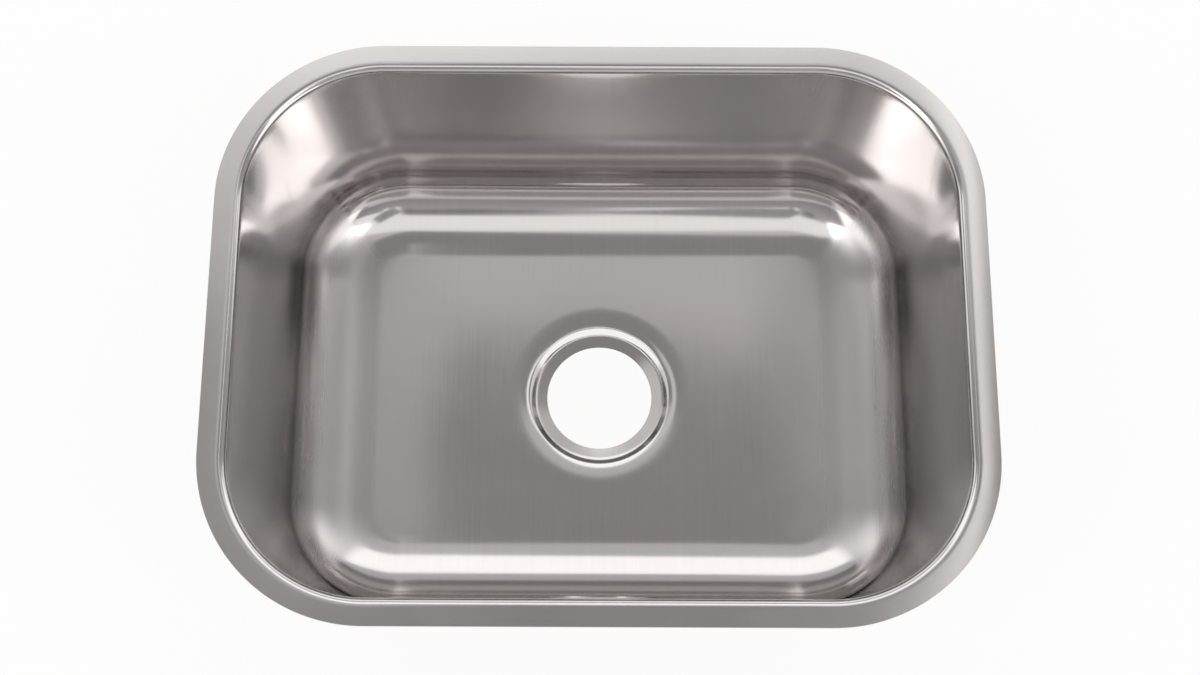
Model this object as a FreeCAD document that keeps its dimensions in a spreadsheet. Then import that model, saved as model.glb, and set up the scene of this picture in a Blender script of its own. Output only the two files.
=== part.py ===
import FreeCAD, Part
import math
import os
import Sketcher

# An undermount kitchen sink, drawn from one steel sheet, with the coat and the rubber pads that
# quieten it. Millimetres and degrees. +Z is up, +X runs along the long side, +Y to the rear.
# The origin is the middle of the flange's top face, which meets the underside of the worktop.

# ---------------------------------------------------------------- driving dimensions

SIZES = [
    ("rim_length", 590.0, "flange, left edge to right edge"),
    ("rim_width", 451.0, "flange, front edge to rear edge"),
    ("rim_corner", 127.0, "radius of the flange's outer corners"),
    ("flange_reach", 20.5, "flange edge to the plane of the wall, at the flange's top face"),
    ("metal", 1.2, "thickness of the steel sheet"),
    ("lip_bend", 6.5, "radius of the seen face where flange turns into wall"),
    ("wall_draft", 4.6, "lean of the walls, degrees from upright"),
    ("bowl_depth", 229.0, "flange top face to the floor, at the drain's axis"),
    ("floor_fall", 0.7, "fall of the floor towards the drain, degrees"),
    ("cove_bend", 60.0, "radius of the seen face where wall turns into floor"),
    ("drain_hole", 92.0, "diameter of the open drain hole"),
    ("ledge", 12.5, "drain hole to the upright wall of its recess, where a strainer sits"),
    ("recess_depth", 11.0, "floor at the drain's axis down to the ledge"),
    ("recess_lip", 5.0, "radius of the seen face where floor turns down into the recess"),
    ("recess_corner", 3.0, "radius of the seen face between recess wall and ledge"),
    ("bond_line", 0.1, "film between the steel and its coat, and between coat and pads"),
    ("coat", 1.0, "thickness of the sprayed coat"),
    ("bare_band", 32.0, "flange top face down to the coat's upper edge, left bare for clips"),
    ("bare_ring", 16.5, "recess wall to the coat's inner edge, left bare for gasket and nut"),
    ("pad", 3.0, "thickness of the rubber pads"),
    ("pad_corner", 12.0, "corner radius of the rubber pads"),
    ("wall_pad_drop", 18.0, "coat's upper edge to the wall pads' upper edge, along the wall"),
    ("wall_pad_height", 112.0, "wall pads, upper edge to lower edge"),
    ("long_pad_length", 270.0, "front and rear wall pads, along the wall"),
    ("short_pad_length", 150.0, "left and right wall pads, along the wall"),
    ("floor_pad_length", 105.0, "floor pads, left to right"),
    ("floor_pad_width", 220.0, "floor pads, front to rear"),
]

doc = FreeCAD.newDocument("undermount_sink")
sheet = doc.addObject("Spreadsheet::Sheet", "Sizes")
for row, (alias, value, meaning) in enumerate(SIZES, start=1):
    sheet.set(f"A{row}", alias)
    sheet.set(f"B{row}", str(value))
    sheet.set(f"C{row}", meaning)
    sheet.setAlias(f"B{row}", alias)
doc.recompute()

# How far each face lies outside the steel's seen face, measured square to it.
SEEN_FACE = "0"
STEEL_OUTSIDE = "Sizes.metal"
COAT_INSIDE = f"({STEEL_OUTSIDE} + Sizes.bond_line)"
COAT_OUTSIDE = f"({COAT_INSIDE} + Sizes.coat)"
PAD_INSIDE = f"({COAT_OUTSIDE} + Sizes.bond_line)"
PAD_OUTSIDE = f"({PAD_INSIDE} + Sizes.pad)"

# The mouth is where the planes of the walls meet the plane of the flange's top face.
MOUTH_LENGTH = "(Sizes.rim_length - 2 * Sizes.flange_reach)"
MOUTH_WIDTH = "(Sizes.rim_width - 2 * Sizes.flange_reach)"
MOUTH_CORNER = "(Sizes.rim_corner - Sizes.flange_reach)"
RECESS_RADIUS = "(Sizes.drain_hole / 2 + Sizes.ledge)"
WINDOW_RADIUS = f"({RECESS_RADIUS} + Sizes.bare_ring)"
LEDGE_DEPTH = "(Sizes.bowl_depth + Sizes.recess_depth)"

# Where the floor ends and the cove begins, left and right of the drain.
FLOOR_EDGE = (f"({MOUTH_LENGTH} / 2 - Sizes.cove_bend / cos(Sizes.wall_draft)"
              " - (Sizes.bowl_depth - Sizes.cove_bend) * tan(Sizes.wall_draft))")

SAME = 0.01  # two lengths or levels closer than this are the same


def number(expression):
    """The value of an expression on the sheet, as a plain number."""
    return float(sheet.evalExpression(expression))


# ---------------------------------------------------------------- bodies and sketches

def new_body(label):
    body = doc.addObject("PartDesign::Body", label)
    body.Label = label
    body.Placement = FreeCAD.Placement()
    return body


def origin_feature(body, role):
    """One of the body's own planes or axes."""
    return next(item for item in body.Origin.OriginFeatures if item.Role == role)


def new_sketch(body, name, role):
    sketch = body.newObject("Sketcher::SketchObject", name)
    sketch.AttachmentSupport = [(origin_feature(body, role), "")]
    sketch.MapMode = "FlatFace"
    return sketch


def drive(sketch, constraint, expression):
    """Adds a constraint with a size and lets the sheet drive it."""
    index = sketch.addConstraint(constraint)
    sketch.setExpression(f"Constraints[{index}]", expression)


def drive_distance(sketch, kind, first, second, expression):
    """A signed distance, DistanceX or DistanceY, between the start points of two edges.
    Edge -1 is the sketch's X axis, whose start point is the origin."""
    value = number(expression)
    drive(sketch, Sketcher.Constraint(kind, first, 1, second, 1, value), expression)


def polygon(body, name, role, corners):
    """A closed outline. Each corner is a pair of expressions, across and up, from the origin."""
    sketch = new_sketch(body, name, role)
    places = [FreeCAD.Vector(number(across), number(up), 0) for across, up in corners]
    for start, end in zip(places, places[1:] + places[:1]):
        sketch.addGeometry(Part.LineSegment(start, end), False)
    for edge, (across, up) in enumerate(corners):
        following = (edge + 1) % len(corners)
        sketch.addConstraint(Sketcher.Constraint("Coincident", edge, 2, following, 1))
        drive_distance(sketch, "DistanceX", -1, edge, across)
        drive_distance(sketch, "DistanceY", -1, edge, up)
    return sketch


def rounded_rectangle(body, name, length, width, corner, centre="0"):
    """A rounded rectangle in the XY plane, with its middle on the X axis at centre."""
    sketch = new_sketch(body, name, "XY_Plane")
    middle = number(centre)
    half_length = number(length) / 2
    half_width = number(width) / 2
    radius = number(corner)
    inner_x = half_length - radius
    inner_y = half_width - radius

    def point(across, up):
        return FreeCAD.Vector(middle + across, up, 0)

    def quarter(across, up, start):
        circle = Part.Circle(point(across, up), FreeCAD.Vector(0, 0, 1), radius)
        return Part.ArcOfCircle(circle, math.radians(start), math.radians(start + 90))

    outline = [
        Part.LineSegment(point(-inner_x, -half_width), point(inner_x, -half_width)),
        quarter(inner_x, -inner_y, -90),
        Part.LineSegment(point(half_length, -inner_y), point(half_length, inner_y)),
        quarter(inner_x, inner_y, 0),
        Part.LineSegment(point(inner_x, half_width), point(-inner_x, half_width)),
        quarter(-inner_x, inner_y, 90),
        Part.LineSegment(point(-half_length, inner_y), point(-half_length, -inner_y)),
        quarter(-inner_x, -inner_y, 180),
    ]
    sketch.addGeometry(outline, False)
    for edge in range(len(outline)):
        following = (edge + 1) % len(outline)
        sketch.addConstraint(Sketcher.Constraint("Tangent", edge, 2, following, 1))
    front, right, rear, left = 0, 2, 4, 6
    first_arc, other_arcs = 1, (3, 5, 7)
    for edge in (front, rear):
        sketch.addConstraint(Sketcher.Constraint("Horizontal", edge))
    for edge in (left, right):
        sketch.addConstraint(Sketcher.Constraint("Vertical", edge))
    for arc in other_arcs:
        sketch.addConstraint(Sketcher.Constraint("Equal", first_arc, arc))
    drive(sketch, Sketcher.Constraint("Radius", first_arc, radius), corner)
    drive_distance(sketch, "DistanceX", left, right, length)
    drive_distance(sketch, "DistanceY", front, rear, width)
    drive_distance(sketch, "DistanceX", -1, right, f"{centre} + {length} / 2")
    drive_distance(sketch, "DistanceY", -1, rear, f"{width} / 2")
    return sketch


# ---------------------------------------------------------------- features

def sketched(body, kind, name, sketch):
    made = body.newObject(kind, name)
    made.Profile = sketch
    sketch.Visibility = False
    return made


def pad_down(body, name, sketch, depth, draft=None):
    """Material from the sketch's plane downwards, its sides leaning in with depth."""
    made = sketched(body, "PartDesign::Pad", name, sketch)
    made.Reversed = True
    made.setExpression("Length", depth)
    if draft:
        made.setExpression("TaperAngle", f"-{draft}")
    doc.recompute()


def pocket_down(body, name, sketch, depth):
    """Takes away what lies between the sketch's plane and depth below it."""
    made = sketched(body, "PartDesign::Pocket", name, sketch)
    made.setExpression("Length", depth)
    doc.recompute()


def turn_about_z(body, kind, name, sketch):
    """A full turn of an XZ profile about the vertical axis, added or taken away."""
    made = sketched(body, kind, name, sketch)
    made.ReferenceAxis = (origin_feature(body, "Z_Axis"), [""])
    made.Angle = 360.0
    doc.recompute()


def fillet(body, name, radius, wanted):
    """Rounds the edges of the body's present shape for which wanted(edge) is true."""
    base = body.Tip
    names = [f"Edge{index}" for index, edge in enumerate(base.Shape.Edges, start=1)
             if wanted(edge)]
    made = body.newObject("PartDesign::Fillet", name)
    made.Base = (base, names)
    made.setExpression("Radius", radius)
    doc.recompute()


def combine(body, name, kind, tool):
    """Cuts the body by another one (Cut), or keeps only what both hold (Common)."""
    made = body.newObject("PartDesign::Boolean", name)
    made.Type = kind
    made.addObject(tool)
    doc.recompute()


def lies_at(edge, level):
    """Whether the whole edge lies at one level."""
    box = edge.BoundBox
    return abs(box.ZMin - level) < SAME and abs(box.ZMax - level) < SAME


# ---------------------------------------------------------------- forms of the bowl

def add_tub(body, skin):
    """The bowl's form, grown outwards by skin: leaning walls, a floor that falls to the drain,
    and the cove between them. A face that leans by an angle and moves out by skin, square to
    itself, moves by skin / cos(angle) across."""
    across = f"({skin}) / cos(Sizes.wall_draft)"
    mouth = rounded_rectangle(
        body, f"{body.Name}_mouth",
        f"({MOUTH_LENGTH} + 2 * {across})",
        f"({MOUTH_WIDTH} + 2 * {across})",
        f"({MOUTH_CORNER} + {across})")
    depth = f"(Sizes.bowl_depth + ({skin}) / cos(Sizes.floor_fall))"
    pad_down(body, f"{body.Name}_walls", mouth, depth, "Sizes.wall_draft")
    rise = "Sizes.rim_length * tan(Sizes.floor_fall)"
    below_floor = polygon(body, f"{body.Name}_below_floor", "XZ_Plane", [
        ("0", f"-{depth}"),
        ("Sizes.rim_length", f"{rise} - {depth}"),
        ("Sizes.rim_length", f"-{depth} - Sizes.metal"),
        ("0", f"-{depth} - Sizes.metal"),
    ])
    turn_about_z(body, "PartDesign::Groove", f"{body.Name}_fall", below_floor)
    lowest = -number(depth)
    highest = lowest + number(rise)

    def between_wall_and_floor(edge):
        return lowest + SAME < edge.BoundBox.ZMin and edge.BoundBox.ZMax < highest

    fillet(body, f"{body.Name}_cove", f"Sizes.cove_bend + {skin}", between_wall_and_floor)


def add_recess(body, skin):
    """The drain recess under the floor, grown outwards by skin."""
    radius = f"({RECESS_RADIUS} + {skin})"
    top = "(Sizes.bowl_depth - Sizes.recess_depth)"
    bottom = f"({LEDGE_DEPTH} + {skin})"
    cup = polygon(body, f"{body.Name}_cup_profile", "XZ_Plane", [
        ("0", f"-{top}"),
        (radius, f"-{top}"),
        (radius, f"-{bottom}"),
        ("0", f"-{bottom}"),
    ])
    turn_about_z(body, "PartDesign::Revolution", f"{body.Name}_cup", cup)
    ring = 2 * math.pi * number(radius)
    level = -number(bottom)

    def at_bottom(edge):
        return abs(edge.Length - ring) < SAME and lies_at(edge, level)

    def at_floor(edge):
        return abs(edge.Length - ring) < SAME and edge.BoundBox.ZMin > -number(LEDGE_DEPTH) + SAME

    fillet(body, f"{body.Name}_cup_lip", f"Sizes.recess_lip - {skin}", at_floor)
    fillet(body, f"{body.Name}_cup_corner", f"Sizes.recess_corner + {skin}", at_bottom)


# ---------------------------------------------------------------- bowl

def make_basin_space():
    """The open space that the steel goes round, down to and through the drain hole."""
    space = new_body("basin_space")
    add_tub(space, SEEN_FACE)
    add_recess(space, SEEN_FACE)
    hole_radius = "Sizes.drain_hole / 2"
    past_the_steel = f"-{LEDGE_DEPTH} - 2 * Sizes.metal"
    hole = polygon(space, "hole_profile", "XZ_Plane", [
        ("0", "-Sizes.bowl_depth"),
        (hole_radius, "-Sizes.bowl_depth"),
        (hole_radius, past_the_steel),
        ("0", past_the_steel),
    ])
    turn_about_z(space, "PartDesign::Revolution", "hole", hole)
    return space


def is_mouth_edge(edge, level):
    """Whether a flat edge at this level belongs to the mouth, not to the flange's outline."""
    if not lies_at(edge, level):
        return False
    middle = edge.valueAt((edge.FirstParameter + edge.LastParameter) / 2)
    corner = number("Sizes.rim_corner")
    past_x = max(abs(middle.x) - (number("Sizes.rim_length") / 2 - corner), 0)
    past_y = max(abs(middle.y) - (number("Sizes.rim_width") / 2 - corner), 0)
    return math.hypot(past_x, past_y) < corner - number("Sizes.flange_reach") / 2


def make_bowl():
    """One pressed sheet: flange, lip, walls, cove, floor, drain recess and drain hole."""
    bowl = new_body("bowl")
    rim = rounded_rectangle(bowl, "rim", "Sizes.rim_length", "Sizes.rim_width",
                            "Sizes.rim_corner")
    pad_down(bowl, "flange", rim, "Sizes.metal")
    add_tub(bowl, STEEL_OUTSIDE)
    add_recess(bowl, STEEL_OUTSIDE)
    underside = -number("Sizes.metal")
    fillet(bowl, "lip_underside", "Sizes.lip_bend - Sizes.metal",
           lambda edge: is_mouth_edge(edge, underside))
    combine(bowl, "hollow", "Cut", make_basin_space())
    fillet(bowl, "lip", "Sizes.lip_bend", lambda edge: is_mouth_edge(edge, 0.0))
    return bowl


# ---------------------------------------------------------------- undercoat

def make_undercoat():
    """The sprayed coat on the outside of walls and floor, bare below the flange and round
    the drain."""
    inside = new_body("coat_inside")
    add_tub(inside, COAT_INSIDE)
    coat = new_body("undercoat")
    add_tub(coat, COAT_OUTSIDE)
    combine(coat, "coat_hollow", "Cut", inside)
    masked = rounded_rectangle(coat, "masked_band", "Sizes.rim_length", "Sizes.rim_width",
                               "Sizes.rim_corner")
    pocket_down(coat, "bare_band", masked, "Sizes.bare_band")
    above_floor = "-(Sizes.bowl_depth - Sizes.recess_depth)"
    window = polygon(coat, "window_profile", "XZ_Plane", [
        ("0", above_floor),
        (WINDOW_RADIUS, above_floor),
        (WINDOW_RADIUS, f"-{LEDGE_DEPTH}"),
        ("0", f"-{LEDGE_DEPTH}"),
    ])
    turn_about_z(coat, "PartDesign::Groove", "drain_window", window)
    return coat


# ---------------------------------------------------------------- rubber pads

def make_wall_pad(label, plane, side, mouth, length):
    """A slab glued to the coat on one wall. Its section leans with the wall, so each corner lies
    some way out from the wall's plane, square to it, and some way down along it."""
    pad = new_body(label)

    def corner(outwards, down):
        across = (f"({mouth} / 2 + {outwards} * cos(Sizes.wall_draft)"
                  f" - {down} * sin(Sizes.wall_draft))")
        up = f"-({outwards} * sin(Sizes.wall_draft) + {down} * cos(Sizes.wall_draft))"
        return (across if side > 0 else f"-{across}"), up

    upper = "(Sizes.bare_band / cos(Sizes.wall_draft) + Sizes.wall_pad_drop)"
    lower = f"({upper} + Sizes.wall_pad_height)"
    section = polygon(pad, f"{label}_section", plane, [
        corner(PAD_INSIDE, upper),
        corner(PAD_OUTSIDE, upper),
        corner(PAD_OUTSIDE, lower),
        corner(PAD_INSIDE, lower),
    ])
    slab = sketched(pad, "PartDesign::Pad", f"{label}_slab", section)
    slab.Midplane = True
    slab.setExpression("Length", length)
    doc.recompute()
    thickness = number("Sizes.pad")
    fillet(pad, f"{label}_corners", "Sizes.pad_corner",
           lambda edge: abs(edge.Length - thickness) < SAME)
    return pad


def make_floor_pad(label, side):
    """A slab glued under the floor beside the drain, midway between the coat's inner edge and
    the cove. It is cut from a dished disc that follows the floor's fall."""
    pad = new_body(label)
    centre = f"(({WINDOW_RADIUS} + {FLOOR_EDGE}) / 2)"
    reach = f"({centre} + Sizes.floor_pad_length + Sizes.floor_pad_width)"
    rise = f"{reach} * tan(Sizes.floor_fall)"
    top = f"(Sizes.bowl_depth + {PAD_INSIDE} / cos(Sizes.floor_fall))"
    bottom = f"(Sizes.bowl_depth + {PAD_OUTSIDE} / cos(Sizes.floor_fall))"
    band = polygon(pad, f"{label}_band", "XZ_Plane", [
        ("0", f"-{top}"),
        (reach, f"{rise} - {top}"),
        (reach, f"{rise} - {bottom}"),
        ("0", f"-{bottom}"),
    ])
    turn_about_z(pad, "PartDesign::Revolution", f"{label}_disc", band)
    outline = new_body(f"{label}_outline")
    edge = rounded_rectangle(outline, f"{label}_edge", "Sizes.floor_pad_length",
                             "Sizes.floor_pad_width", "Sizes.pad_corner",
                             centre if side > 0 else f"-{centre}")
    pad_down(outline, f"{label}_prism", edge, f"2 * {LEDGE_DEPTH}")
    combine(pad, f"{label}_trim", "Common", outline)
    return pad


# ---------------------------------------------------------------- build, check, write

parts = [
    make_bowl(),
    make_undercoat(),
    make_floor_pad("left_floor_pad", -1),
    make_floor_pad("right_floor_pad", 1),
    make_wall_pad("front_wall_pad", "YZ_Plane", -1, MOUTH_WIDTH, "Sizes.long_pad_length"),
    make_wall_pad("rear_wall_pad", "YZ_Plane", 1, MOUTH_WIDTH, "Sizes.long_pad_length"),
    make_wall_pad("left_wall_pad", "XZ_Plane", -1, MOUTH_LENGTH, "Sizes.short_pad_length"),
    make_wall_pad("right_wall_pad", "XZ_Plane", 1, MOUTH_LENGTH, "Sizes.short_pad_length"),
]
doc.recompute()

failed = [item.Name for item in doc.Objects
          if "Invalid" in item.State or "Error" in item.State]
if failed:
    raise RuntimeError(f"these objects failed: {failed}")

for part in parts:
    if part.Shape.isNull() or not part.Shape.isValid() or len(part.Shape.Solids) != 1:
        raise RuntimeError(f"{part.Label} isn't one sound solid")

os.makedirs("parts", exist_ok=True)
for part in parts:
    part.Shape.exportStep(f"parts/{part.Label}.step")
    box = part.Shape.optimalBoundingBox()
    print(f"{part.Label}: {part.Shape.Volume / 1000:.1f} cm3, "
          f"{box.XLength:.1f} x {box.YLength:.1f} x {box.ZLength:.1f} mm, "
          f"from z {box.ZMin:.1f} to {box.ZMax:.1f}")
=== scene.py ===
# %% [markdown]
# # A satin steel kitchen sink
#
# The sink is one steel sheet, pressed into a deep tub with a flat flange round its mouth, and it
# hangs under a worktop. What makes it look like steel is its reflections: long bright bands that
# follow each bend. So this lesson spends its care on smooth curved surfaces, on a finely brushed
# metal, and on plain surroundings for the metal to mirror.
#
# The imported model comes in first. Its pieces already lie where they belong, with the origin in
# the middle of the flange's top face, and everything that is added here uses the same metres.

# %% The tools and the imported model
import math

import bpy
import numpy as np
from mathutils import Matrix, Vector


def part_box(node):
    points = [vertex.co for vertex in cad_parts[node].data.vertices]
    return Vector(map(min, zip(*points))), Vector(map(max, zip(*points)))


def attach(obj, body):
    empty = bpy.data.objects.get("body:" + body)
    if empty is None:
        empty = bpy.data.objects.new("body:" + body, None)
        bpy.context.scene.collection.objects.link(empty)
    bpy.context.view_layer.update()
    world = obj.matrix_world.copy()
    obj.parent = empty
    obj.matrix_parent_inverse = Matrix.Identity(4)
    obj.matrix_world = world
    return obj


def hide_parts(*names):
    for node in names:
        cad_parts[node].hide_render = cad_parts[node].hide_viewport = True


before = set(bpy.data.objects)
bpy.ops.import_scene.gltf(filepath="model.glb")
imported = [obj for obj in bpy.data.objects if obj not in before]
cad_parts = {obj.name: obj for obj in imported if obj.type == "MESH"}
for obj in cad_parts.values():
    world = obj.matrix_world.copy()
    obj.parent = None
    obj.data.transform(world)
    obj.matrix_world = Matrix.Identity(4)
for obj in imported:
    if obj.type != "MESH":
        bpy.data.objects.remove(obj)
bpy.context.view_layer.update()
MM = 0.001
print("packed pieces:", ", ".join(sorted(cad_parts)))

# %% [markdown]
# ## The camera
#
# The photograph looks down into the sink from a little in front of it. The camera stands where
# the rim, the bends and the drain hole fall on the picture as they do there: 1.2 m above the
# flange, 0.35 m in front of the middle, leaning 15.5 degrees from straight down, with a 50 mm
# lens. A lens that long keeps the rim's long sides nearly parallel.

# %% The camera
LENS = 50.17
STANDS_AT = (0.00077, -0.34571, 1.20271)
LEAN = math.radians(15.537)
TURN = math.radians(-0.017)
ROLL = math.radians(0.174)

camera_data = bpy.data.cameras.new("photo_camera")
camera_data.sensor_width = 36.0
camera_data.lens = LENS
camera_data.clip_end = 50.0
camera = bpy.data.objects.new("photo_camera", camera_data)
bpy.context.collection.objects.link(camera)
bpy.context.scene.camera = camera
bpy.context.scene.view_settings.view_transform = "Standard"

looking = Vector((math.sin(TURN), math.sin(LEAN) * math.cos(TURN),
                  -math.cos(LEAN) * math.cos(TURN)))
camera.matrix_world = (Matrix.Translation(STANDS_AT)
                       @ looking.to_track_quat("-Z", "Y").to_matrix().to_4x4()
                       @ Matrix.Rotation(ROLL, 4, "Z"))
print("camera at", [round(value, 3) for value in camera.location])

# %% [markdown]
# ## A walk round the rim
#
# Every bend of the sink goes all the way round, so one section, swept round the mouth, gives
# the whole tub. A boolean or a subdivided cage could make the tub too, but both leave small
# ripples, and polished steel shows each of them. Worked-out points are smooth to a hair.
#
# The walk stands on a small rectangle: the middles of the four corner arcs. From there each
# step looks straight out, so a ring that lies `inset` millimetres inside the flange's edge is
# found by walking `CORNER - inset` millimetres that way. The sizes are in millimetres too.

# %% The sizes of the bowl, and the walk round its rim
HALF_LENGTH = 295.0             # of the flange
HALF_WIDTH = 225.5
CORNER = 127.0                  # radius of the flange's corners
REACH = 20.5                    # from the flange's edge to where the wall would meet its level
STEEL = 1.2
BROKEN_EDGE = 0.25              # how far the sharp edges of the sheet are taken off
EDGE_DROOP = 0.45               # of the flange's right edge
LIP = 6.5                       # radius of the bend from flange to wall
DRAFT = math.radians(4.6)       # lean of the walls
DEPTH = 229.0                   # of the floor's slope where it would meet the drain's axis
FALL = math.radians(0.7)        # slope of the floor to the drain
COVE_OUT = 66.0                 # the oval roller's reach over the floor and up the wall
COVE_DOWN = 42.0
DISH_START = 80.4               # from the drain's axis
DISH_BENDS = [(math.radians(3.5), 200.0), (math.radians(12.0), 60.0)]   # tilt at its end, radius
RECESS_EDGE = 1.2               # radius of the bend over the drop's top
RECESS_TILT = math.radians(62.0)
RECESS_CORNER = 1.0             # radius of the hollow at the drop's foot
LEDGE = 240.0                   # depth of the ledge at the hole
LEDGE_TILT = math.radians(8.0)
HOLE = 46.0                     # radius


def walk_round(per_corner, per_long_side, per_short_side):
    """Feet and outward directions, anticlockwise from the right side's front end."""
    half_x = HALF_LENGTH - CORNER
    half_y = HALF_WIDTH - CORNER
    stops = [(half_x, -half_y), (half_x, half_y), (-half_x, half_y), (-half_x, -half_y)]
    feet = []
    angles = []
    for side in range(4):
        start = np.array(stops[side])
        end = np.array(stops[(side + 1) % 4])
        steps = per_long_side if side % 2 else per_short_side
        for step in range(steps):
            feet.append(start + (end - start) * step / steps)
            angles.append(side * math.pi / 2)
        for step in range(per_corner):
            feet.append(end)
            angles.append((side + step / per_corner) * math.pi / 2)
    angles = np.array(angles)
    return np.array(feet), np.column_stack([np.cos(angles), np.sin(angles)])


FEET, OUTWARDS = walk_round(44, 64, 40)
ROUND = len(FEET)
print("steps round the rim:", ROUND)


def ring(inset, height):
    """The ring that lies inset inside the flange's edge, at one height or at one per step."""
    across = FEET + OUTWARDS * (CORNER - np.reshape(inset, (-1, 1)))
    height = np.broadcast_to(np.asarray(height, float).reshape(-1), (ROUND,))
    return np.column_stack([across, height])


# %% [markdown]
# ## The seen face and its underside
#
# The tub's section runs down through six parts: flat flange, lip, leaning wall, cove, floor and
# drain recess. Each point also gets the direction that the sheet faces there, so the underside
# is the same walk, one sheet's thickness further back.
#
# The cove is what an oval roller leaves when it runs along the foot of the walls: it reaches 66 mm
# out over the floor and 42 mm up the wall, so the bend is slow at the floor and quicker above. A
# round one gives bands of light that are narrower than those in the photograph. The floor falls
# to the drain, so the roller rides a little higher in the corners than beside it.

# %% Points and facings from the flange's edge to the foot of the cove
def facing_inwards(tilt):
    """The facing that leans inwards from straight up by tilt, at each step of the walk."""
    return np.column_stack([-OUTWARDS * math.sin(tilt), np.full(ROUND, math.cos(tilt))])


def floor_height(points):
    return -DEPTH + np.hypot(points[:, 0], points[:, 1]) * math.tan(FALL)


def floor_facing(points):
    far = np.hypot(points[:, 0], points[:, 1])[:, None]
    return np.column_stack([-points[:, :2] / far * math.sin(FALL),
                            np.full(len(points), math.cos(FALL))])


rings = []                      # (points, facings), from the flange's edge to the hole's
LIP_START = REACH - LIP * math.tan((math.pi / 2 - DRAFT) / 2)
UP = facing_inwards(0.0)
RIGHT_EDGE = np.clip(OUTWARDS[:, 0], 0, 1) ** 3
for inset in (BROKEN_EDGE, 1.0, 2.5, 4.0, 5.5, 7.0, 8.5, 10.0, 11.5, 13.0, LIP_START):
    droop = EDGE_DROOP * (1 - inset / LIP_START) ** 2
    rings.append((ring(inset, -droop * RIGHT_EDGE), UP))
lip_middle = ring(LIP_START, -LIP)
for tilt in np.linspace(0, math.pi / 2 - DRAFT, 13)[1:]:
    facing = facing_inwards(tilt)
    rings.append((lip_middle + LIP * facing, facing))
wall_top = rings[-1][0]
rings_above_wall = len(rings)


def roller(facing):
    """From the oval roller's touching point to its middle, where the sheet has this facing."""
    pulled = facing * [COVE_OUT ** 2, COVE_OUT ** 2, COVE_DOWN ** 2]
    return pulled / np.sqrt((pulled * facing).sum(axis=1))[:, None]


def over_flat(count, short):
    """Shares of the way over a flat part: one short step at each end and even ones between.
    The short steps keep the smooth shading of the bends beside it out of the flat part."""
    return [short, *np.linspace(short, 1 - short, count)[1:], 1.0]


wall_facing = facing_inwards(math.pi / 2 - DRAFT)
to_wall = math.hypot(COVE_OUT * math.cos(DRAFT), COVE_DOWN * math.sin(DRAFT))
to_floor = math.hypot(COVE_OUT * math.sin(FALL), COVE_DOWN * math.cos(FALL))
middle = ring(REACH + COVE_OUT, -DEPTH + COVE_DOWN)
for _ in range(30):             # each time nearer to touching both the wall and the floor
    height = floor_height(middle) + to_floor / math.cos(FALL)
    middle = ring(REACH - height * math.tan(DRAFT) + to_wall / math.cos(DRAFT), height)
wall_foot = middle - roller(wall_facing)
for share in over_flat(8, 0.04):
    rings.append((wall_top + (wall_foot - wall_top) * share, wall_facing))
print("wall ends, mm below the flange:", round(-wall_foot[:, 2].max(), 1),
      "to", round(-wall_foot[:, 2].min(), 1))

# %% [markdown]
# The oval roller's middle is known all round now. The cove is where it touches the sheet, as the
# facing turns evenly from the wall's to the floor's. The floor goes on from there, straight to
# the dish round the drain.

# %% The cove and the floor
cove_end = floor_facing(middle)
whole_turn = np.arccos(np.clip((wall_facing * cove_end).sum(axis=1), -1, 1))[:, None]
for share in np.linspace(0, 1, 49)[1:]:
    facing = (np.sin((1 - share) * whole_turn) * wall_facing
              + np.sin(share * whole_turn) * cove_end) / np.sin(whole_turn)
    rings.append((middle - roller(facing), facing))

floor_rim = rings[-1][0]
far = np.hypot(floor_rim[:, 0], floor_rim[:, 1])[:, None]
TOWARDS = floor_rim[:, :2] / far        # from the drain's axis to each step of the walk
for share in over_flat(12, 0.025):
    distance = far + (DISH_START - far) * share
    points = np.column_stack([floor_rim[:, :2] / far * distance, np.zeros(ROUND)])
    points[:, 2] = floor_height(points)
    rings.append((points, floor_facing(points)))
print("rings down to the drain:", len(rings))

# %% [markdown]
# Round the drain the floor first dips in a soft dish, then drops over a crisp edge to the ledge
# that carries the strainer's rim. The drop leans: seen from the front, its rear part is a broad
# band and its front part a thin line. It faces the hole so squarely that its rear part mirrors
# the white ground below the sink. The ledge leans a little towards the hole, so that it drains.


# %% The drain recess
def turned(radius, height, tilt):
    """A ring about the drain's axis whose facing leans from straight up by tilt, towards it."""
    points = np.column_stack([TOWARDS * radius, np.full(ROUND, height)])
    facing = np.column_stack([-TOWARDS * math.sin(tilt), np.full(ROUND, math.cos(tilt))])
    return points, facing


def roll(radius, height, tilts, bend):
    """Rings on from a radius and height, as the facing turns through tilts round a bend.
    The bend's radius is above 0 where the sheet rolls over and below 0 where it is hollow."""
    middle = (radius + bend * math.sin(tilts[0]), height - bend * math.cos(tilts[0]))
    ends = [(middle[0] - bend * math.sin(tilt), middle[1] + bend * math.cos(tilt))
            for tilt in tilts]
    rings.extend(turned(*end, tilt) for end, tilt in zip(ends[1:], tilts[1:]))
    return ends[-1]


def ledge_height(radius):
    return -LEDGE + (radius - HOLE) * math.tan(LEDGE_TILT)


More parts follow.
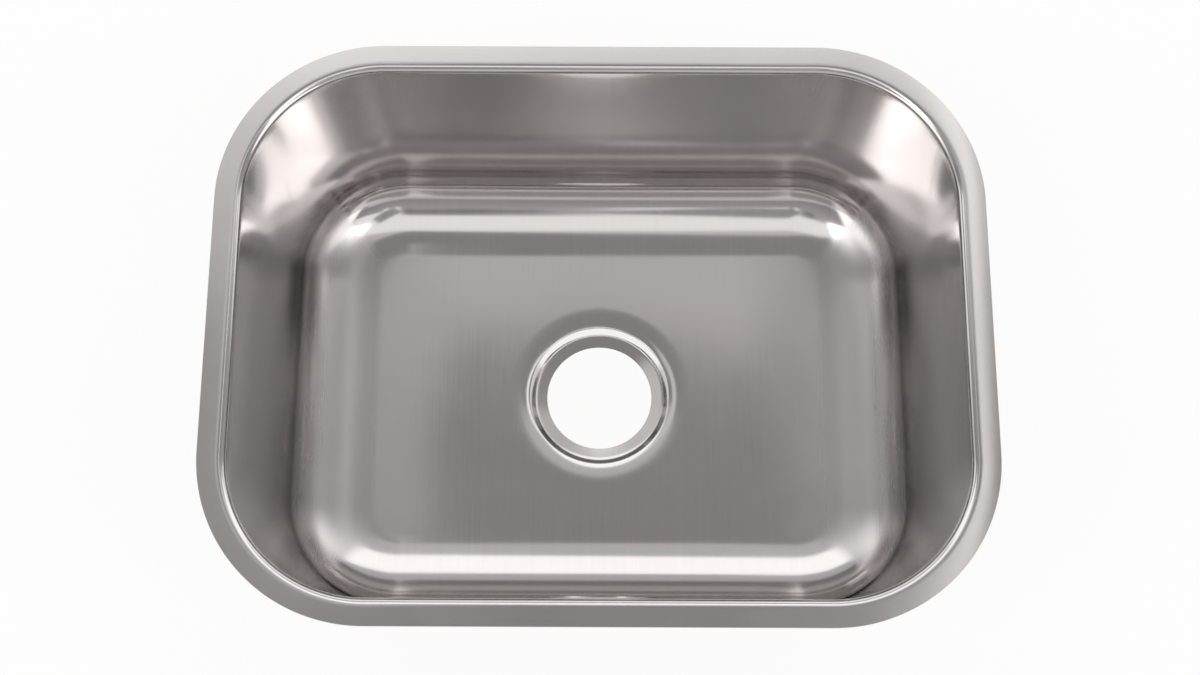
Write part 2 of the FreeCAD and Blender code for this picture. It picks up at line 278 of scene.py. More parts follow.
dish_height = -DEPTH + DISH_START * math.tan(FALL)
edge_r, edge_z, tilt = DISH_START, dish_height, FALL
for further, bend_radius in DISH_BENDS:
    edge_r, edge_z = roll(edge_r, edge_z, np.linspace(tilt, further, 9), bend_radius)
    tilt = further
wall_r, wall_z = roll(edge_r, edge_z, np.linspace(tilt, RECESS_TILT, 8), RECESS_EDGE)
drop = ((wall_z - ledge_height(wall_r))
        / (math.sin(RECESS_TILT) - math.cos(RECESS_TILT) * math.tan(LEDGE_TILT))
        - RECESS_CORNER * math.tan((RECESS_TILT - LEDGE_TILT) / 2))
foot_r = wall_r - drop * math.cos(RECESS_TILT)
foot_z = wall_z - drop * math.sin(RECESS_TILT)
rings.append(turned(foot_r, foot_z, RECESS_TILT))
ledge_r, ledge_z = roll(foot_r, foot_z, np.linspace(RECESS_TILT, LEDGE_TILT, 7), -RECESS_CORNER)
for radius in (ledge_r - 2.5, ledge_r - 5.0, HOLE + 3.0, HOLE + BROKEN_EDGE):
    rings.append(turned(radius, ledge_height(radius), LEDGE_TILT))
print("recess: edge", round(wall_r, 1), "mm, foot", round(foot_r, 1), "mm, leaning drop",
      round(drop, 1), "mm, ledge from", round(ledge_r, 1), "mm")
print("rings in all:", len(rings))

# %% [markdown]
# ## From rings to a sheet of steel
#
# Neighbouring rings are joined by quads. The seen face is joined to the underside along the
# flange's edge and along the edge of the hole, where a worker has broken the sharp edge by a
# quarter of a millimetre. A map of the sheet is laid on at the same time: round the tub in one
# direction and down the section in the other, both in metres. The finishes below don't need it,
# but paint or an image that is laid on later would.

# %% Quads between the rings
MAP_INSET = 60.0                # the map measures the way round along this ring
SHARP = math.radians(35)


def closed_sheet(name, faces_of_sheet):
    """An object from rings that are joined in a closed loop, last to first, with a map on it."""
    points = np.concatenate(faces_of_sheet) * MM
    count = len(faces_of_sheet)
    quads = []
    for row in range(count):
        below = (row + 1) % count
        for step in range(ROUND):
            after = (step + 1) % ROUND
            quads.append((row * ROUND + step, row * ROUND + after,
                          below * ROUND + after, below * ROUND + step))
    mesh = bpy.data.meshes.new(name)
    mesh.from_pydata(points.tolist(), [], quads)
    mesh.polygons.foreach_set("use_smooth", [True] * len(quads))
    stack = np.stack(faces_of_sheet)
    down = np.linalg.norm(np.diff(stack, axis=0), axis=2)
    down = np.concatenate([np.zeros((1, ROUND)), np.cumsum(down, axis=0)]) * MM
    edge = ring(MAP_INSET, 0.0)
    along = np.linalg.norm(np.diff(np.concatenate([edge, edge[:1]]), axis=0), axis=1)
    along = np.concatenate([[0.0], np.cumsum(along)]) * MM
    layer = mesh.uv_layers.new(name="sheet_map")
    coordinates = []
    for row in range(count):
        below = min(row + 1, count - 1)
        for step in range(ROUND):
            after = (step + 1) % ROUND
            coordinates += [(along[step], down[row, step]), (along[step + 1], down[row, after]),
                            (along[step + 1], down[below, after]),
                            (along[step], down[below, step])]
    layer.data.foreach_set("uv", np.ravel(coordinates))
    mesh.set_sharp_from_angle(angle=SHARP)
    mesh.validate()
    return bpy.data.objects.new(name, mesh)


seen = [points for points, facing in rings]
under = [points - STEEL * facing for points, facing in rings]
flange_edge = [ring(0.0, -STEEL + BROKEN_EDGE - EDGE_DROOP * RIGHT_EDGE),
               ring(0.0, -BROKEN_EDGE - EDGE_DROOP * RIGHT_EDGE)]
hole_edge = [turned(HOLE, -LEDGE - BROKEN_EDGE, 0.0)[0],
             turned(HOLE, -LEDGE - STEEL + BROKEN_EDGE, 0.0)[0]]
steel_bowl = closed_sheet("steel_bowl", seen + hole_edge + under[::-1] + flange_edge)
bpy.context.collection.objects.link(steel_bowl)
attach(steel_bowl, "root")
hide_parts("bowl")
corners = np.array(steel_bowl.bound_box)
print("bowl:", len(steel_bowl.data.polygons), "quads,", np.round(np.ptp(corners, axis=0) / MM, 2),
      "mm")

# %% [markdown]
# ## Writing shader maths as plain sums
#
# A finish is a web of small nodes. To keep it readable, an output of a node is wrapped so that
# `+`, `-`, `*` and `abs` add the Math nodes, and every other node comes from one call.

# %% A wrapper for node outputs, and a finish to hold them
class Flow:
    """What comes out of a node. A sum or a product with it adds a Math node."""

    def __init__(self, finish, socket):
        self.finish = finish
        self.socket = socket

    def maths(self, operation, *values):
        node = self.finish.add("ShaderNodeMath", {"operation": operation},
                               dict(enumerate(values)))
        return node("Value")

    def __add__(self, other):
        return self.maths("ADD", self, other)

    def __sub__(self, other):
        return self.maths("SUBTRACT", self, other)

    def __rsub__(self, other):
        return self.maths("SUBTRACT", other, self)

    def __mul__(self, other):
        return self.maths("MULTIPLY", self, other)

    def __abs__(self):
        return self.maths("ABSOLUTE", self)

    def or_more(self, other):
        return self.maths("MAXIMUM", self, other)

    __radd__ = __add__
    __rmul__ = __mul__


class Finish:
    """A material's or the world's node tree."""

    def __init__(self, owner):
        owner.use_nodes = True
        self.owner = owner
        self.tree = owner.node_tree
        self.tree.nodes.clear()

    def add(self, kind, settings=None, sockets=None):
        """Adds a node: first its settings, then its sockets, each with a value or a Flow.
        Gives back a function that wraps one of its outputs by name."""
        node = self.tree.nodes.new(kind)
        for name, value in (settings or {}).items():
            if name == "stops":
                ramp = node.color_ramp
                for stop, (place, colour) in enumerate(value):
                    element = ramp.elements[stop] if stop < 2 else ramp.elements.new(place)
                    element.position = place
                    element.color = (*colour, 1.0)
            else:
                setattr(node, name, value)
        for name, value in (sockets or {}).items():
            if isinstance(value, Flow):
                self.tree.links.new(value.socket, node.inputs[name])
            else:
                node.inputs[name].default_value = value
        return lambda output: Flow(self, node.outputs[output])

    def colour_mix(self, share, first, second):
        mix = self.add("ShaderNodeMix", {"data_type": "RGBA"}, {0: share, 6: first, 7: second})
        return mix(2)

    def stretched(self, place, across, along, upwards=1.0):
        """A place multiplied along each of its three directions."""
        return self.add("ShaderNodeVectorMath", {"operation": "MULTIPLY"},
                        {0: place, 1: (across, along, upwards)})("Vector")

    def noise(self, place, scale=1.0, detail=2.0, roughness=0.5, distortion=0.0):
        """Cloudy noise, from about 0.25 to 0.75."""
        return self.add("ShaderNodeTexNoise", {}, {
            "Vector": place, "Scale": scale, "Detail": detail, "Roughness": roughness,
            "Distortion": distortion})("Fac")

    def fade(self, value, start, end):
        """0 where the value is at start or beyond it, 1 at end, with a soft step between."""
        return self.add("ShaderNodeMapRange", {"interpolation_type": "SMOOTHSTEP"}, {
            "Value": value, "From Min": start, "From Max": end})("Result")

    def bump(self, height, depth, normal=None):
        """A bump whose height of 1 stands depth metres proud, on another bump if one is given."""
        sockets = {"Height": height, "Distance": depth, "Strength": 1.0}
        if normal is not None:
            sockets["Normal"] = normal
        return self.add("ShaderNodeBump", {}, sockets)("Normal")

    def output(self, kind, surface):
        self.add(kind, {}, {"Surface": surface})


print("shader wrapper ready")

# %% [markdown]
# ## Satin steel
#
# The maker brushed this sheet in two ways. The flange was brushed flat, from left to right. The
# tub was brushed from front to rear, so the marks run down the front and rear walls and along
# the side ones. That is why the long bright bands at the front and rear stay crisp, and those at
# the sides are blurred: a brush mark smears a reflection across itself.
#
# Anisotropic gloss could do that, but a model that is exported keeps only plain roughness, so
# the side coves get more of that instead.
#
# First come the masks that say where each treatment lies. A mask is a number from 0 to 1, here a
# soft step between two heights in metres, or between two values of how the sheet faces: facing X
# is 1 where it faces right, facing Y where it faces the rear and facing Z where it faces up.

# %% Masks for the parts of the sheet
steel = Finish(bpy.data.materials.new("satin_steel"))
place = steel.add("ShaderNodeTexCoord")("Object")
place_parts = steel.add("ShaderNodeSeparateXYZ", {}, {"Vector": place})
facing = steel.add("ShaderNodeSeparateXYZ", {}, {
    "Vector": steel.add("ShaderNodeNewGeometry")("Normal")})
in_tub = steel.fade(place_parts("Z"), -0.001, -0.006)
leaning = abs(facing("X"))
to_side = leaning - abs(facing("Y"))
near_end = steel.fade(abs(place_parts("X")), 0.11, 0.20)
sideways = steel.fade(to_side, -0.06, 0.06) * near_end * steel.fade(facing("Z"), 0.02, 0.30)
# The foot of the side coves: painted shade in its grey below, and a little more roughness.
cove_foot_shade_and_blur = sideways * steel.fade(facing("Z"), 0.80, 0.95) * in_tub
# The rear part of the drop round the drain: painted highlight in its grey below, and a little less
# roughness.
rear_drop_highlight_and_polish = (steel.fade(place_parts("Z"), -0.2298, -0.2306) * steel.fade(facing("Z"), 0.90, 0.70)
             * steel.fade(facing("Y"), -0.32, -0.48))
flange = steel.fade(place_parts("Z"), -0.0013, -0.0004)
print("masks made:", len(steel.tree.nodes), "nodes")

# %% [markdown]
# A brush mark is a scratch much longer than it is wide, which is noise stretched the same way:
# the brush's numbers say how often the noise changes in a metre, along X, Y and Z. The marks are
# far too shallow to model, so they tilt the light a little with a bump, and they vary the gloss
# and the grey by a few percent.

# %% Brush marks on the flange and in the tub
FLANGE_BRUSH = (14.0, 1300.0)
TUB_BRUSH = (1000.0, 12.0, 12.0)
flange_marks = steel.noise(steel.stretched(place, *FLANGE_BRUSH), 1.0, 3.0, 0.65)
tub_marks = steel.noise(steel.stretched(place, *TUB_BRUSH), 1.0, 3.0, 0.65)
marks = flange_marks + (tub_marks - flange_marks) * in_tub
print("a brush mark's length over its width:", round(FLANGE_BRUSH[1] / FLANGE_BRUSH[0]),
      "on the flange,", round(TUB_BRUSH[0] / TUB_BRUSH[1]), "in the tub")

# %% [markdown]
# Use leaves its own traces: a few soft scuffs along the side coves, dull clouds where the steel
# was wiped, and a sheet that isn't perfectly even after the press has drawn it.
#
# A mark also throws light aside, out of the reflection. The side walls and the foot of the side
# coves are seen across their marks, so they look darker than the front and rear ones; their grey
# is lowered as painted shade, and the side coves are also rougher. The rear part of the drop round
# the drain gets a painted highlight instead: its grey is raised almost to white, and it is a
# little glossier.

# %% Scuffs, clouds, the drawn sheet's unevenness, and the whole finish
STEEL_DARK = (0.576, 0.556, 0.549, 1.0)
STEEL_PALE = (0.671, 0.648, 0.641, 1.0)
# painted shade for the side walls and the foot of the side coves
STEEL_PAINTED_SHADE = (0.36, 0.347, 0.342, 1.0)
# painted highlight for the rear part of the drop round the drain
STEEL_PAINTED_HIGHLIGHT = (0.93, 0.92, 0.91, 1.0)
scuff_noise = steel.noise(steel.stretched(place, 240.0, 9.0, 9.0), 1.0, 1.0, 0.5)
scuff_places = steel.noise(place, 9.0, 1.0)
scuffs = (steel.fade(scuff_noise, 0.58, 0.72) * steel.fade(scuff_places, 0.48, 0.60)
          * steel.fade(leaning, 0.15, 0.40) * in_tub)
clouds = steel.noise(place, 11.0, 3.0, 0.55, 0.6)
uneven = steel.noise(place, 7.0, 1.0, 0.4)
tone = steel.colour_mix(marks * 0.6 + clouds * 0.4, STEEL_DARK, STEEL_PALE)
# Painted shade: the side walls and the foot of the side coves are given a lower grey.
side_wall_painted_shade = steel.fade(leaning, 0.55, 0.95) * steel.fade(facing("Z"), 0.40, 0.12) * in_tub
tone = steel.colour_mix(side_wall_painted_shade * 0.55 + cove_foot_shade_and_blur * 0.5, tone, STEEL_PAINTED_SHADE)
# Painted highlight: the rear part of the drop round the drain is raised almost to white.
tone = steel.colour_mix(rear_drop_highlight_and_polish, tone, STEEL_PAINTED_HIGHLIGHT)
gloss = (0.085 + (marks - 0.5) * 0.04 + clouds * 0.07 + scuffs * 0.04
         + sideways * in_tub * 0.15 + cove_foot_shade_and_blur * 0.05 + flange * 0.06 - rear_drop_highlight_and_polish * 0.06)
UNEVEN_DEPTH = 0.00016
MARK_DEPTH = 0.000005
drawn_normal = steel.bump(uneven, UNEVEN_DEPTH)
surface_normal = steel.bump(marks + scuffs * 0.5, MARK_DEPTH, drawn_normal)
surface = steel.add("ShaderNodeBsdfPrincipled", {}, {
    "Base Color": tone, "Metallic": 1.0, "Roughness": gloss, "Normal": surface_normal})
steel.output("ShaderNodeOutputMaterial", surface("BSDF"))
steel_bowl.data.materials.append(steel.owner)
print("steel nodes:", len(steel.tree.nodes))

# %% [markdown]
# ## The sprayed coat
#
# The outside is sprayed with a thick grey paint that deadens the sound and stops drips of
# condensation. It stops short of the flange and of the drain, where tape kept the steel bare. The
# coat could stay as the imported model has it, but a sprayed edge is thinner and wanders a little,
# so the coat gets its own skin, on the same walk as the steel.

# %% The coat's skin
BOND = 0.1                      # the film of primer under the coat, or of glue under a pad
COAT = 1.0
BARE_BAND = 32.0                # from the flange's top down to the coat
WINDOW = 75.0                   # radius of the bare steel round the drain
EDGE_ROOM = 6.0                 # no ring of the steel nearer to the coat's upper edge than this
WINDOW_ROOM = 5.0               # and none nearer to its window
EDGE_STEPS = (0.0, 0.5, 1.6, 3.2)
WINDOW_STEPS = (3.0, 1.6, 0.5, 0.0)
THINNING = [0.25, 0.55, 0.85, COAT]     # the coat's thickness at the steps, from its edge on


def wander(seed, size):
    """A smooth random offset for each step of the walk, from 0 to size."""
    beside = FEET + OUTWARDS * 50
    angles = np.arctan2(beside[:, 1], beside[:, 0])
    waves = np.random.default_rng(seed)
    total = np.zeros(ROUND)
    for cycles in (5, 9, 14, 23, 37, 61):
        total += waves.uniform(0.3, 1.0) * np.sin(cycles * angles + waves.uniform(0, 2 * math.pi))
    total -= total.min()
    return total / total.max() * size


def on_wall(height):
    """The wall's ring and facing at a height, which may differ from step to step."""
    height = np.broadcast_to(np.asarray(height, float), (ROUND,))
    return ring(REACH - height * math.tan(DRAFT), height), wall_facing


def on_floor(radius):
    """The floor's ring and facing at a radius, which may differ from step to step."""
    points = np.column_stack([TOWARDS * np.reshape(radius, (-1, 1)), np.zeros(ROUND)])
    points[:, 2] = floor_height(points)
    return points, floor_facing(points)


top_edge = -BARE_BAND - 0.3 - wander(3, 1.4)
window_edge = WINDOW + 0.3 + wander(4, 1.2)
coated = [(points, facing) for points, facing in rings[rings_above_wall:]
          if points[:, 2].max() < -BARE_BAND - EDGE_ROOM
          and np.hypot(points[:, 0], points[:, 1]).min() > WINDOW + WINDOW_ROOM]
path = ([on_wall(top_edge - step) for step in EDGE_STEPS] + coated
        + [on_floor(window_edge + step) for step in WINDOW_STEPS])
thickness = THINNING + [COAT] * len(coated) + THINNING[::-1]
inner = [points - (STEEL + BOND) * facing for points, facing in path]
outer = [points - (STEEL + BOND + thick) * facing
         for (points, facing), thick in zip(path, thickness)]
sprayed_coat = closed_sheet("sprayed_coat", inner + outer[::-1])
bpy.context.collection.objects.link(sprayed_coat)
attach(sprayed_coat, "root")
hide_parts("undercoat")

# %% [markdown]
# The paint dries as a crust of fine droplets on larger soft lumps, dull and slightly speckled.
# The lumps are cloudy noise, and a pattern of cells makes the droplets, as each cell has one
# middle. Both are under a millimetre high, so a bump is enough.

# %% The coat's finish
COAT_DARK = (0.235, 0.232, 0.228, 1.0)
COAT_PALE = (0.345, 0.340, 0.333, 1.0)
COAT_DRIFT = (0.250, 0.246, 0.240, 1.0)
CRUST_DEPTH = 0.0011
coat = Finish(bpy.data.materials.new("sound_coat"))
place = coat.add("ShaderNodeTexCoord")("Object")
lumps = coat.noise(place, 260.0, 4.0, 0.6)
droplets = coat.add("ShaderNodeTexVoronoi", {"feature": "SMOOTH_F1"}, {
    "Vector": place, "Scale": 620.0, "Smoothness": 0.4})("Distance")
drifts = coat.noise(place, 14.0, 3.0, 0.6)
crust = lumps * 0.7 + (1 - droplets) * 0.45
coat_tone = coat.colour_mix(coat.fade(lumps, 0.30, 0.72), COAT_DARK, COAT_PALE)
coat_tone = coat.colour_mix(coat.fade(drifts, 0.42, 0.66) * 0.35, coat_tone, COAT_DRIFT)
coat_surface = coat.add("ShaderNodeBsdfPrincipled", {}, {
    "Base Color": coat_tone, "Roughness": 0.72 + lumps * 0.22,
    "Normal": coat.bump(crust, CRUST_DEPTH)})
coat.output("ShaderNodeOutputMaterial", coat_surface("BSDF"))
sprayed_coat.data.materials.append(coat.owner)
print("coat nodes:", len(coat.tree.nodes))

# %% [markdown]
# ## The moulded pads
#
# Six rubber pads are glued on the coat, one on each wall and one each side of the drain. A pad is
# moulded with a raised frame and a net of raised ribs, which save rubber. A bump leaves a rib's
# outline flat and is lost in a plain mesh, so the ribs are real: the outer face is a fine grid,
# and each point's height comes from how near it is to the frame and to a rib.

# %% A pad's outline and its pattern of ribs
PAD = 3.0                       # thickness at the frame
PAD_CORNER = 12.0
PAD_OFFSET = STEEL + BOND + COAT + BOND
WEB = 2.1                       # thickness between the ribs
FRAME_STRIP = 7.5               # how far the frame and its slope reach inwards
FRAME_SLOPE = 1.2
RIB_SPACING = 15.0              # along and across the pad, for ribs that run at 45 degrees
RIB_REACH = 2.1                 # from a rib's middle to the foot of its slope
RIB_SLOPE = 1.0
RIB_SHARE = 0.8                 # of the frame's rise
ROUNDED = 1.1                   # how far in the pad's edge is rounded
ROUNDED_DOWN = 0.75             # and how far down it comes at the very edge


def pad_height(across, down, length, width):
    """The rubber's thickness at points of a pad, in millimetres."""
    past = np.hypot(np.maximum(np.abs(across) - (length / 2 - PAD_CORNER), 0),
                    np.maximum(np.abs(down) - (width / 2 - PAD_CORNER), 0))
    flat_inset = np.minimum(length / 2 - np.abs(across), width / 2 - np.abs(down))
    inset = np.where(past > 0, np.minimum(PAD_CORNER - past, flat_inset), flat_inset)
    frame_strip = np.clip((FRAME_STRIP - inset) / FRAME_SLOPE, 0, 1)
    net = np.minimum(np.abs((across + down) % RIB_SPACING - RIB_SPACING / 2),
                     np.abs((across - down) % RIB_SPACING - RIB_SPACING / 2))
    ribs = np.clip((RIB_REACH - net) / RIB_SLOPE, 0, 1) * RIB_SHARE
    raised = np.maximum(frame_strip, ribs)
    raised = raised * raised * (3 - 2 * raised)     # soft at the foot and at the top
    edge = np.clip(inset / ROUNDED, 0, 1)
    return (WEB + (PAD - WEB) * raised
            - ROUNDED_DOWN * (1 - np.sqrt(1 - (1 - edge) ** 2)))


rib_section = pad_height(np.linspace(-40, 40, 400), 0.0, 150, 112)
print("a rib stands", round(float(np.ptp(rib_section)), 2), "mm above the rubber between the ribs")

# %% [markdown]
# The grid has straight rows, and each row is as long as the pad is there, so the rounded corners
# need no cutting. Round the edge a strip of faces goes straight back to the glued face, which
# nobody sees and which is left in long plain strips.


# %% A pad from a fine grid
PAD_GRID = 1.1


def moulded_pad(name, node, length, width, placed):
    """A pad of this length and width; placed turns (across, down, out) into a place, in mm."""
    columns, rows = round(length / PAD_GRID), round(width / PAD_GRID)
    down = np.linspace(-width / 2, width / 2, rows + 1)
    into_corner = np.clip(np.abs(down) - (width / 2 - PAD_CORNER), 0, PAD_CORNER)
    reach = length / 2 - PAD_CORNER + np.sqrt(PAD_CORNER ** 2 - into_corner ** 2)
    across = np.linspace(-1, 1, columns + 1)[None, :] * reach[:, None]
    down = np.repeat(down[:, None], columns + 1, axis=1)
    height = pad_height(across, down, length, width)
    face = placed(across.ravel(), down.ravel(), PAD_OFFSET + height.ravel())
    back = placed(across.ravel(), down.ravel(), np.full(across.size, PAD_OFFSET))
    number = np.arange(across.size).reshape(across.shape)
    under = number + across.size
    quads = []

    def strip(first, second):
        quads.extend(zip(first[:-1], first[1:], second[1:], second[:-1]))

    for row in range(rows):
        strip(number[row], number[row + 1])
        quads.append((under[row + 1, 0], under[row + 1, -1], under[row, -1], under[row, 0]))
    strip(under[0], number[0])
    strip(number[-1], under[-1])
    strip(number[:, 0], under[:, 0])
    strip(under[:, -1], number[:, -1])
    mesh = bpy.data.meshes.new(name)
    mesh.from_pydata((np.concatenate([face, back]) * MM).tolist(), [],
                     [tuple(int(corner) for corner in quad) for quad in quads])
    mesh.validate()
    pad = bpy.data.objects.new(name, mesh)
    bpy.context.collection.objects.link(pad)
    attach(pad, "root")
    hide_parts(node)
    return pad


# %% [markdown]
# The wall pads hang midway along their walls. The floor pads lie midway between the bare steel
# round the drain and the foot of the cove, where the floor is flat enough for a stiff pad. The
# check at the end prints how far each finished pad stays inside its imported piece, in millimetres.

# %% Where the six pads go
PAD_TOP = 50.0                  # from the flange's top down to a wall pad
WALL_PAD_DROP = 112.0
FLOOR_PAD_MIDDLE = 137.85       # from the drain's axis


def against_wall(outward, distance):
    """For a pad on the wall that faces this way, distance from the middle to the flange's edge."""
    outward = np.array(outward, float)
    along_wall = np.array([-outward[1], outward[0], 0.0])
    downwards = np.array([*(-outward[:2] * math.sin(DRAFT)), -math.cos(DRAFT)])
    away = np.array([*(outward[:2] * math.cos(DRAFT)), -math.sin(DRAFT)])
    top = outward * (distance - REACH - PAD_TOP * math.tan(DRAFT)) + np.array([0, 0, -PAD_TOP])

    def placed(across, down, out):
        return (top + np.outer(across, along_wall)
                + np.outer(down + WALL_PAD_DROP / 2, downwards) + np.outer(out, away))
    return placed


def below_floor(middle):
    """For a pad under the floor whose middle is this far to the right of the drain's axis."""
    def placed(across, down, out):
        points = np.column_stack([middle + across, down, np.zeros(across.size)])
        points[:, 2] = floor_height(points) - out / math.cos(FALL)
        return points
    return placed


PADS = [                        # name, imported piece, length, width, place
    ("front_pad", "front_wall_pad", 270, WALL_PAD_DROP, against_wall((0, -1, 0), HALF_WIDTH)),
    ("rear_pad", "rear_wall_pad", 270, WALL_PAD_DROP, against_wall((0, 1, 0), HALF_WIDTH)),
    ("left_pad", "left_wall_pad", 150, WALL_PAD_DROP, against_wall((-1, 0, 0), HALF_LENGTH)),
    ("right_pad", "right_wall_pad", 150, WALL_PAD_DROP, against_wall((1, 0, 0), HALF_LENGTH)),
    ("left_under_pad", "left_floor_pad", 105, 220, below_floor(-FLOOR_PAD_MIDDLE)),
    ("right_under_pad", "right_floor_pad", 105, 220, below_floor(FLOOR_PAD_MIDDLE)),
]
pads = []
for name, node, length, width, placed in PADS:
    pad = moulded_pad(name, node, length, width, placed)
    points = np.array([vertex.co for vertex in pad.data.vertices]) / MM
    packed = np.array(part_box(node)) / MM
    print(name, np.round(points.min(axis=0) - packed[0], 2),
          np.round(packed[1] - points.max(axis=0), 2))
    pads.append(pad)

# %% [markdown]
# Black rubber has a soft sheen, a skin of tiny pores, and a grey bloom where it was dusted so
# that it wouldn't stick in its mould. Fine noise makes the pores, and coarse noise the bloom,
# which is paler and duller than the rubber.

# %% The rubber's finish
RUBBER_BLACK = (0.028, 0.028, 0.030, 1.0)
RUBBER_BLOOM = (0.085, 0.084, 0.082, 1.0)
PORE_DEPTH = 0.00007
rubber = Finish(bpy.data.materials.new("pad_rubber"))
place = rubber.add("ShaderNodeTexCoord")("Object")
pores = rubber.noise(place, 1500.0, 2.0, 0.5)
bloom = rubber.noise(place, 26.0, 4.0, 0.62, 0.4)
dust = rubber.fade(bloom, 0.48, 0.72)
rubber_tone = rubber.colour_mix(dust * 0.55 + pores * 0.2, RUBBER_BLACK, RUBBER_BLOOM)
rubber_surface = rubber.add("ShaderNodeBsdfPrincipled", {}, {
    "Base Color": rubber_tone, "Roughness": 0.48 + dust * 0.25 + pores * 0.1,
    "Normal": rubber.bump(pores, PORE_DEPTH)})
rubber.output("ShaderNodeOutputMaterial", rubber_surface("BSDF"))
for pad in pads:
    pad.data.materials.append(rubber.owner)
print("rubber nodes:", len(rubber.tree.nodes))

# %% [markdown]
# ## The floor
#
# The photograph's ground is pure white, and it shows through the drain hole too. A large plain
# disc lies at the level of the sink's lowest face. What looks at it directly, or in a
# reflection, sees mostly an even white, and a small share of ordinary white keeps a faint shadow.

# %% The floor
FLOOR_RADIUS = 8
FLOOR_CORNERS = 96
FLOOR_GAP = 0.0005              # so that the sink's lowest face and the disc share no plane
EVEN_SHARE = 0.92

floor_mesh = bpy.data.meshes.new("studio_floor")
edge = [(FLOOR_RADIUS * math.cos(turn), FLOOR_RADIUS * math.sin(turn),
         -(LEDGE + STEEL) * MM - FLOOR_GAP)
        for turn in np.linspace(0, 2 * math.pi, FLOOR_CORNERS + 1)[:-1]]
floor_mesh.from_pydata(edge, [], [tuple(range(FLOOR_CORNERS))])
studio_floor = bpy.data.objects.new("studio_floor", floor_mesh)
bpy.context.collection.objects.link(studio_floor)

ground = Finish(bpy.data.materials.new("white_ground"))
ray = ground.add("ShaderNodeLightPath")
seen_directly = ray("Is Camera Ray").or_more(
    ray("Is Glossy Ray").or_more(ray("Is Transmission Ray")))
even_white = ground.add("ShaderNodeEmission", {}, {"Color": (1, 1, 1, 1), "Strength": 1.0})
plain_white = ground.add("ShaderNodeBsdfDiffuse", {}, {"Color": (0.85, 0.85, 0.85, 1)})
mixed = ground.add("ShaderNodeMixShader", {}, {
    "Fac": seen_directly * EVEN_SHARE, 1: plain_white("BSDF"), 2: even_white("Emission")})
ground.output("ShaderNodeOutputMaterial", mixed("Shader"))
floor_mesh.materials.append(ground.owner)
print("floor at", round(edge[0][2] / MM, 1), "mm")

# %% [markdown]
# ## The studio
#
# Steel shows what stands round it, so the studio is built for its reflections. The room is a
# plain sky of soft light: brightest just above the table's level, darkest a third of the way up,
# and paler again straight overhead. A map of a real room could light it too, but a few plain
# levels are easier to change and hold no surprises.

# %% The room
world = bpy.data.worlds.new("studio")
bpy.context.scene.world = world
room = Finish(world)
direction = room.add("ShaderNodeTexCoord")("Generated")
rise = room.add("ShaderNodeSeparateXYZ", {}, {"Vector": direction})("Z")
level = room.add("ShaderNodeValToRGB", {"stops": [
    (0.0, (0.85, 0.85, 0.85)), (0.2, (1.36, 1.36, 1.36)), (0.5, (0.32, 0.32, 0.32)),
    (0.8, (0.51, 0.492, 0.486)), (1.0, (0.76, 0.728, 0.718))]}, {"Fac": rise})("Color")
light = room.add("ShaderNodeBackground", {}, {"Color": level, "Strength": 1.0})
room.output("ShaderNodeOutputWorld", light("Background"))

# %% [markdown]
# Boards hang round the table: white ones that glow, as softboxes do, and grey ones that keep part
# of the room dark. A glowing board is used instead of a lamp because a grey one is made the same
# way, and the camera sees neither. Each board is given by how far it leans from straight up, the
# direction that it hangs in (0 is right, 90 rear, 180 left, 270 front), its size as it would be
# 4 m away, its turn and its level. Each hangs 5 cm nearer than the one before and is as much
# smaller, so where two overlap, the later one hides the earlier one cleanly.

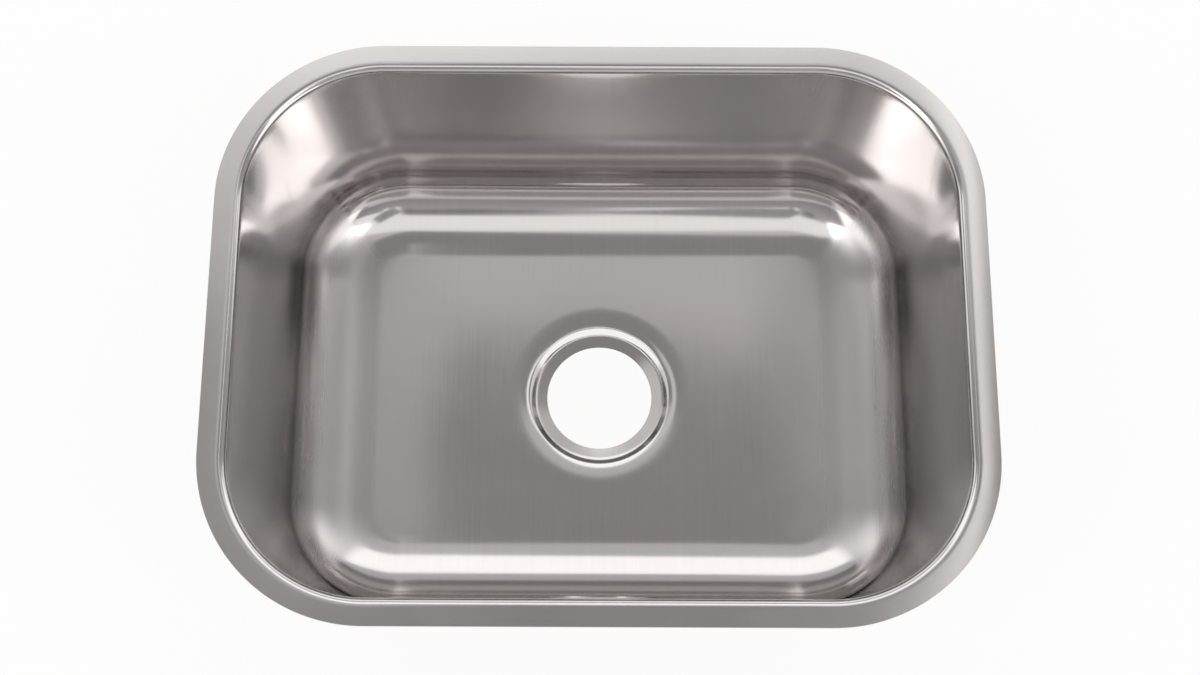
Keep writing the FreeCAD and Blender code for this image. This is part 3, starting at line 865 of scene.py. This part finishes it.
# %% The boards
BOARD_DISTANCE = 4.0
BOARD_STEP = 0.05
BOARD_WHITE = (1.0, 0.985, 0.98, 1.0)
BOARDS = [                      # name, lean, towards, width m, height m, turn, level
    ("front_left_softbox", 34.4, 211, 1.16, 1.43, 2, 3.30),
    ("front_right_softbox", 40.0, 328, 1.44, 1.19, -40, 3.30),
    ("far_left_softbox", 67.5, 211, 2.49, 3.03, 13, 1.75),
    ("far_right_softbox", 77.0, 326, 2.77, 4.54, -32, 1.63),
    ("front_softbox", 20.6, 275, 1.40, 3.60, 82, 1.20),
    ("overhead_grey_left", 39.7, 161, 14.40, 0.68, -5, 0.32),
    ("front_strip", 38.8, 302, 2.93, 0.81, -5, 1.20),
    ("rear_softbox", 49.4, 87, 9.58, 3.33, 4, 1.58),
    ("rear_grey", 59.7, 90, 5.20, 1.22, 0, 0.59),
    ("front_slot", 36.0, 282, 0.92, 1.20, -1, 1.20),
    ("overhead_grey_right", 8.5, 37, 6.79, 1.46, 15, 0.32),
    ("front_dark_left", 35.9, 259, 0.45, 0.60, 40, 0.27),
    ("front_dark_right", 35.1, 287, 0.83, 1.32, -52, 0.38),
    ("left_grey", 77.2, 176, 1.38, 1.40, 17, 0.70),
    ("right_grey", 77.2, 7, 1.60, 1.40, 20, 0.36),
    ("rear_step", 26.3, 65, 4.70, 0.80, 3, 0.66),
    ("right_strip", 25.0, 40, 0.34, 2.40, 0, 1.50),
    ("left_strip", 21.0, 128, 0.50, 1.60, 0, 0.80),
    ("front_low_grey", 74.7, 274, 3.90, 2.35, 3, 0.71),
]


def hang_board(number, name, lean, towards, width, height, turn, level):
    """Hangs one board that glows at its level and faces the middle of the flange."""
    lean, towards, turn = math.radians(lean), math.radians(towards), math.radians(turn)
    away = Vector((math.sin(lean) * math.cos(towards), math.sin(lean) * math.sin(towards),
                   math.cos(lean)))
    wide = (Vector((1, 0, 0)) - away * away.x).normalized()
    high = away.cross(wide)
    wide, high = (math.cos(turn) * wide + math.sin(turn) * high,
                  math.cos(turn) * high - math.sin(turn) * wide)
    distance = BOARD_DISTANCE - BOARD_STEP * number
    share = distance / BOARD_DISTANCE
    corners = [away * distance + (wide * width * x + high * height * y) * share / 2
               for x, y in ((-1, -1), (1, -1), (1, 1), (-1, 1))]
    mesh = bpy.data.meshes.new(name)
    mesh.from_pydata(corners, [], [(0, 1, 2, 3)])
    board = bpy.data.objects.new(name, mesh)
    bpy.context.collection.objects.link(board)
    board.visible_camera = False
    glow = Finish(bpy.data.materials.new(name))
    shine = glow.add("ShaderNodeEmission", {}, {"Color": BOARD_WHITE, "Strength": level})
    glow.output("ShaderNodeOutputMaterial", shine("Emission"))
    mesh.materials.append(glow.owner)


for number, board in enumerate(BOARDS):
    hang_board(number, *board)
print("boards:", len(BOARDS))
